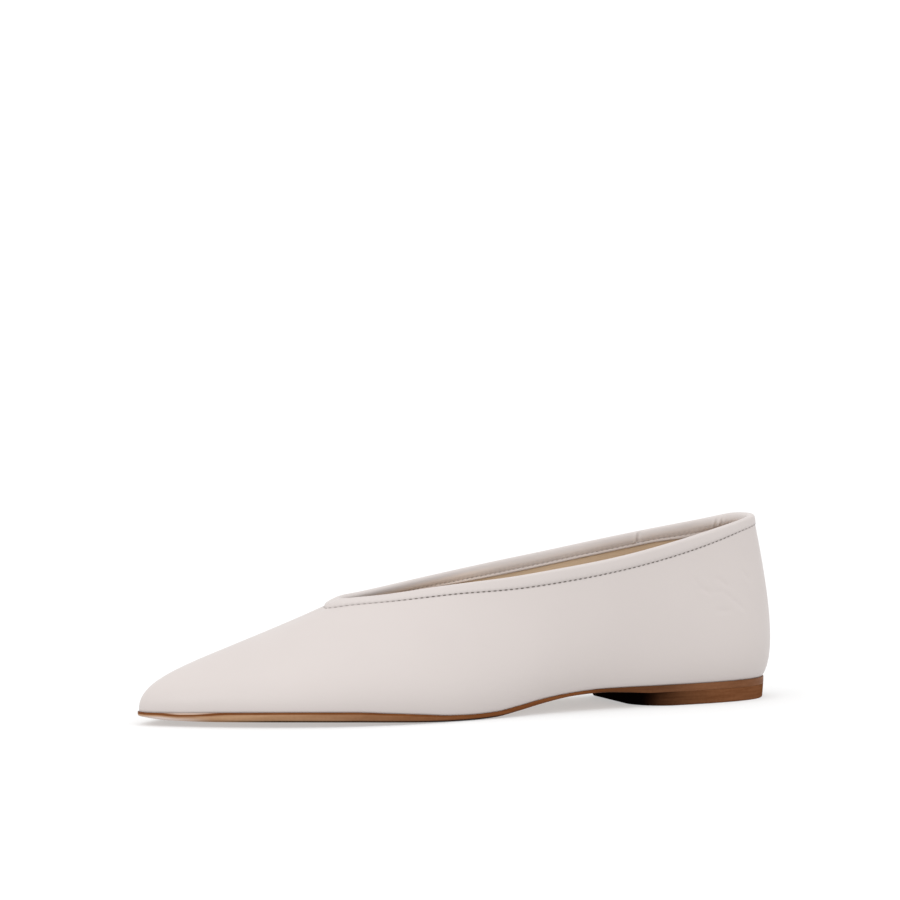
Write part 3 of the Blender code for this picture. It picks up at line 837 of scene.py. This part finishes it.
def makeOutsole():
    feather = featherLoop(0.0, sole["steps"])
    level = outwards(feather)
    along = (feather + sole["proud"] * level)[:, 0]
    top = soleValue("feather", along) - sole["drop"]
    thick = top - (soleValue("feather", along) - last["gap"] - soleValue("edge", along))
    undercut = soleValue("undercut", along)
    flat = np.minimum(sole["flat"], thick / 2)
    share = along / last["length"]
    dip = between(share, sole["toeDipShares"]) * (feather[:, 1] < 0)
    # painted reflection under the toe
    toeReflection = sole["paleTip"] * smooth(share, *sole["paleShares"])
    footShadow = sole["footShadow"] * between(share, sole["footShadowShares"])
    breastShade = sole["breastShade"] * between(along, sole["breastShadeAlong"])
    seat = 1 - smooth(along, *sole["seatEnds"])
    rings, stains, paintedShades, pales, seats = [], [], [], [], []

    def tanShare(at):
        share = (at / last["length"] - sole["fadeFrom"]) / (sole["fadeTo"] - sole["fadeFrom"])
        return np.clip(share, 0.0, 1.0) ** sole["fadePower"]

    def add(into, drop):
        drop = drop + 0.0 * top
        rings.append(atHeight(feather + (sole["proud"] - into + 0.0 * top)[:, None] * level,
                              np.maximum(top - drop, 0.0)))
        deep = drop - sole["toeDip"] * dip
        # above: the sliver where the lip dips, painted pale as a reflection instead of stained
        above = dip * (1 - smooth(deep, *sole["sliver"]))
        lip = (1 - smooth(deep, *sole["lipDepth"])) * (1 - above)
        stains.append(np.maximum(lip, 1 - tanShare(along)))
        left = thick - drop
        # painted contact shadow along the foot of the edge, and painted shade above the heel's breast
        line = footShadow * (1 - smooth(left, *sole["footShadowLine"][::-1]))
        paintedShades.append(np.maximum(line, breastShade))
        # painted reflection: pale under the toe and in the sliver
        pales.append(np.maximum(toeReflection * smooth(deep, *sole["paleDepth"]), sole["paleSliver"] * above))
        seats.append(seat)

    for into, drop in sole["lipRound"]:
        add(into, drop)
    for part in sole["lipRows"]:
        add(0.0, part * flat)
    add(0.0, flat)
    for k in range(1, sole["edgeSteps"] + 1):
        turn = math.pi / 2 * k / sole["edgeSteps"]
        add(undercut * (1 - math.cos(turn)), flat + (thick - flat) * math.sin(turn))
    foot = rings[-1]
    spine = spineOf(foot, sole["spine"])
    for share in sole["under"]:
        inside = spine + share * (foot[:, :2] - spine)
        at = inside[:, 0]
        edge = soleValue("feather", at) - last["gap"] - soleValue("edge", at)
        hang = soleValue("crown", at) * (1 - share * share)
        rings.append(atHeight(inside, np.maximum(edge - hang, 0.0)))
        stains.append((1 - tanShare(at)) * smooth(share, *sole["stainUnder"]))
        for values in (paintedShades, pales, seats):
            values.append(0.0 * at)
    paint = {"stain": stains, "blackAndShade": paintedShades, "pale": pales, "seat": seats}
    return ringMesh("outsoleLeather", rings, "across", paint)


solePiece = makeOutsole()
solePiece.data.materials.append(stainedLeather("stainedSole", sole))
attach(solePiece, "root")
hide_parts("outsole")
print("outsole made:", len(solePiece.data.polygons), "faces")

# the heel: a low brown block flush with the sole; its breast is black and deepened by painted shade, and
# painted shade fades from there to brown along its sides
heel = {
    "steps": 18,
    "length": 0.0625,          # on the lateral side
    "skew": 0.0040,            # shorter than that on the medial side
    "breastLean": 0.0016,      # the breast's top runs this far forward there
    "lateralCorner": 0.0135,
    "medialCorner": 0.0040,
    "cornerPlay": 0.0016,      # the sides stop this far before the corners begin
    "cornerSteps": 24,
    "breastSteps": 12,
    # in from the sole's edge and up from the floor
    "profile": ((0.00120, 0.0), (0.00078, 0.00005), (0.00054, 0.00020), (0.00044, 0.0005),
                (0.00036, 0.0014), (0.00024, 0.0028), (0.00014, 0.0042), (0.00010, 0.0048),
                (0.00010, 0.00510), (0.00014, 0.00517)),
    "under": (0.93, 0.80, 0.64, 0.48, 0.32, 0.16),   # rings across the bottom
    "underLine": (0.024, 0.042),                     # drawn in to a line between these places
    # painted shade along the sides, growing between these places towards the breast
    "sideShadeFrom": 0.024,
    "sideShadeTo": 0.070,
    "breastBlackAndShade": (0.0200, 0.0015),   # full black this near the breast: a black breast, partly painted shade
    "dark": (0.116, 0.043, 0.017, 1.0),
    "darkStreak": (0.166, 0.068, 0.030, 1.0),
    "tan": (0.150, 0.062, 0.026, 1.0),
    "tanStreak": (0.190, 0.085, 0.040, 1.0),
    # near-black of the black breast and of the painted shade
    "blackAndShade": (0.0025, 0.0012, 0.0010, 1.0),
    "rough": (0.42, 0.56),
    "specular": 0.0,
}


def heelOutline(inset, up):
    whole = featherLoop(sole["proud"], heel["steps"])
    loop = featherLoop(sole["proud"] - inset, heel["steps"])
    wide, tight = heel["lateralCorner"], heel["medialCorner"]
    lateralTurn = heel["length"] - wide
    medialTurn = heel["length"] - heel["skew"] - tight
    half = len(loop) // 2
    lateral = loop[:half, :2][whole[:half, 0] < lateralTurn - heel["cornerPlay"]]
    medial = loop[half:, :2][whole[half:, 0] < medialTurn - heel["cornerPlay"]]
    low, high = lateral[-1][1] + wide, medial[0][1] - tight
    lean = heel["breastLean"] * up / heel["profile"][-1][1]
    turns = np.linspace(0.0, math.pi / 2, heel["cornerSteps"] + 1)
    front = [(lateralTurn - inset + wide * math.sin(turn), low - wide * math.cos(turn)) for turn in turns]
    for share in np.linspace(0.0, 1.0, heel["breastSteps"] + 1)[1:-1]:
        front.append((heel["length"] - inset - (heel["skew"] - lean) * share, low + share * (high - low)))
    front += [(medialTurn + lean - inset + tight * math.cos(turn), high + tight * math.sin(turn))
              for turn in turns]
    return np.concatenate([lateral, front, medial])


def makeHeel():
    outlines = [(heelOutline(inset, up), up) for inset, up in heel["profile"]]
    foot = outlines[0][0]
    low, high = foot[:, 1].min(), foot[:, 1].max()
    line = np.stack([np.clip(foot[:, 0], *heel["underLine"]), np.full(len(foot), (low + high) / 2)], 1)
    outlines = [(line + share * (foot - line), 0.0) for share in heel["under"][::-1]] + outlines
    rings, stains, shades = [], [], []
    for outline, up in outlines:
        rings.append(atHeight(outline, up))
        stains.append(np.ones(len(outline)))
        along = outline[:, 0]
        across = (outline[:, 1] - low) / (high - low)
        behind = heel["length"] - heel["skew"] * across - along
        # painted shade along the sides, and full black on the breast, which is partly painted shade
        shades.append(np.maximum(smooth(along, heel["sideShadeFrom"], heel["sideShadeTo"]),
                                 1 - smooth(behind, *heel["breastBlackAndShade"][::-1])))
    return ringMesh("heelBlock", rings, "flat", {"stain": stains, "blackAndShade": shades})


heelPiece = makeHeel()
heelPiece.data.materials.append(stainedLeather("stainedHeel", heel))
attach(heelPiece, "root")
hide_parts("heel")
print("heel made:", len(heelPiece.data.polygons), "faces")

# the insole: a leather sock over a thin board, softly padded and turned up a little at its edge
insole = {
    "steps": 12,
    "play": 0.00006,           # between its edge and the lining
    "wallShare": 0.04,         # how far up the wall its slope is taken
    # in from the lining and up from the feather line
    "profile": ((0.0001, 0.0001), (0.0, 0.0010), (0.0001, 0.0017), (0.0004, 0.00205), (0.0012, 0.00214),
                (0.0028, 0.00205)),
    "spine": (0.09, 0.90),
    "shares": (0.80, 0.62, 0.44, 0.26),
    "look": {
        "colour": (0.545, 0.410, 0.279, 1.0), "mottled": (0.508, 0.378, 0.256, 1.0), "mottleScale": 45.0,
        "grainScale": 1700.0, "grainStrength": 0.16, "softScale": 80.0, "softStrength": 0.06,
        "rough": (0.55, 0.68), "specular": 0.32, "coat": 0.0, "coatRough": 0.5,
    },
}


def makeInsole():
    feather = featherLoop(0.0, insole["steps"])
    level = outwards(feather)
    rings = []
    foot, above = lastRows((0.0, insole["wallShare"]), lining["collarRows"], insole["steps"])[:2]
    slope = ((above - foot) * level).sum(axis=1) / (above - foot)[:, 2]
    room = lining["inside"] * np.sqrt(1 + slope ** 2) + insole["play"]
    for inset, rise in insole["profile"]:
        loop = feather - (room + inset - rise * slope)[:, None] * level
        rings.append(atHeight(loop, soleValue("feather", loop[:, 0]) + rise))
    foot = rings[-1]
    spine = spineOf(foot, insole["spine"])
    for share in insole["shares"]:
        inside = spine + share * (foot[:, :2] - spine)
        rings.append(atHeight(inside, soleValue("feather", inside[:, 0]) + insole["profile"][-1][1]))
    return ringMesh("insoleSock", rings, "across")


insolePiece = makeInsole()
insolePiece.data.materials.append(leather("beigeSock", insole["look"]))
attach(insolePiece, "root")
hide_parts("insole")
print("insole made:", len(insolePiece.data.polygons), "faces")

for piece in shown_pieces():
    if piece.type == "MESH":
        print(piece.name, "triangles:", sum(len(p.vertices) - 2 for p in piece.data.polygons))

# a plain pale floor
floor = {
    "half": 6.0,
    "up": -0.00005,
    "colour": (0.40, 0.40, 0.40, 1.0),
    "rough": 0.9,
    "specular": 0.1,
    "glow": 0.44,
}
white = (1.0, 1.0, 1.0, 1.0)
floorMesh = bpy.data.meshes.new("floor")
corners = ((-1, -1), (1, -1), (1, 1), (-1, 1))
places = [(x * floor["half"], y * floor["half"], floor["up"]) for x, y in corners]
floorMesh.from_pydata(places, [], [(0, 1, 2, 3)])
floorPiece = addObject("floor", floorMesh)
floorPaint = bpy.data.materials.new("paleFloor")
floorPaint.use_nodes = True
floorShader = floorPaint.node_tree.nodes["Principled BSDF"]
floorShader.inputs["Base Color"].default_value = floor["colour"]
floorShader.inputs["Roughness"].default_value = floor["rough"]
floorShader.inputs["Specular IOR Level"].default_value = floor["specular"]
floorShader.inputs["Emission Color"].default_value = white
floorShader.inputs["Emission Strength"].default_value = floor["glow"]
floorMesh.materials.append(floorPaint)

# soft light: a white sky, brighter overhead and on the camera's side of the shoe, and soft boxes above and to
# the toe's side
sky = {
    "front": 1.46,
    "behind": 1.12,
    "lift": 0.15,
    "way": (0.469, 0.883, 0.0),   # level, away from the camera
    "wayEnds": (-0.2, 0.8),
}
lights = (
    {"name": "overhead", "place": (-0.10, -0.10, 1.5), "aim": (0.0, 0.0, 0.0), "size": 0.9, "power": 1.0},
    {"name": "toeSide", "place": (-1.5, -0.9, 1.1), "aim": (0.0, 0.0, 0.03), "size": 0.9, "power": 5.2},
)
world = bpy.data.worlds.new("studio")
world.use_nodes = True
bpy.context.scene.world = world
skyTree = world.node_tree
looking = addNode(skyTree, "ShaderNodeTexCoord").outputs["Generated"]
towards = addNode(skyTree, "ShaderNodeVectorMath", {0: looking, 1: sky["way"]}, operation="DOT_PRODUCT")
height = addNode(skyTree, "ShaderNodeSeparateXYZ", {"Vector": looking}).outputs["Z"]
level = spread(skyTree, towards.outputs["Value"], *sky["wayEnds"], sky["front"], sky["behind"])
raised = spread(skyTree, height, 0.0, 1.0, 0.0, sky["lift"])
skyTree.nodes["Background"].inputs["Color"].default_value = white
fill(skyTree, skyTree.nodes["Background"].inputs["Strength"], maths(skyTree, "ADD", level, raised))
for light in lights:
    lamp = bpy.data.lights.new(light["name"], "AREA")
    lamp.shape = "DISK"
    lamp.size = light["size"]
    lamp.energy = light["power"]
    holder = addObject(light["name"], lamp)
    holder.location = light["place"]
    way = Vector(light["aim"]) - Vector(light["place"])
    holder.rotation_euler = way.to_track_quat("-Z", "Y").to_euler()

# the camera: from the lateral side, turned towards the toe, looking past the shoe as the photo is framed
view = {
    "azimuth": -28.0,
    "elevation": 4.9,
    "distance": 1.8,
    "middle": (0.125, 0.0, 0.030),
    "lens": 196.3,
    "sensor": 36.0,
    "clip": (0.05, 50.0),
    "lookLeft": 0.0041,
    "lookAbove": 0.0651,
}
turn, lift = math.radians(view["azimuth"]), math.radians(view["elevation"])
back = Vector((math.sin(turn) * math.cos(lift), -math.cos(turn) * math.cos(lift), math.sin(lift)))
right = Vector((math.cos(turn), math.sin(turn), 0.0))
above = back.cross(right)
middle = Vector(toScene(np.array(view["middle"])))
eye = middle + view["distance"] * back
aim = middle - view["lookLeft"] * right + view["lookAbove"] * above
lensData = bpy.data.cameras.new("camera")
lensData.lens = view["lens"]
lensData.sensor_width = view["sensor"]
lensData.clip_start, lensData.clip_end = view["clip"]
camera = addObject("camera", lensData)
camera.location = eye
camera.rotation_euler = (aim - eye).to_track_quat("-Z", "Y").to_euler()
bpy.context.scene.camera = camera
bpy.context.scene.view_settings.view_transform = "Standard"
print("camera and light set")
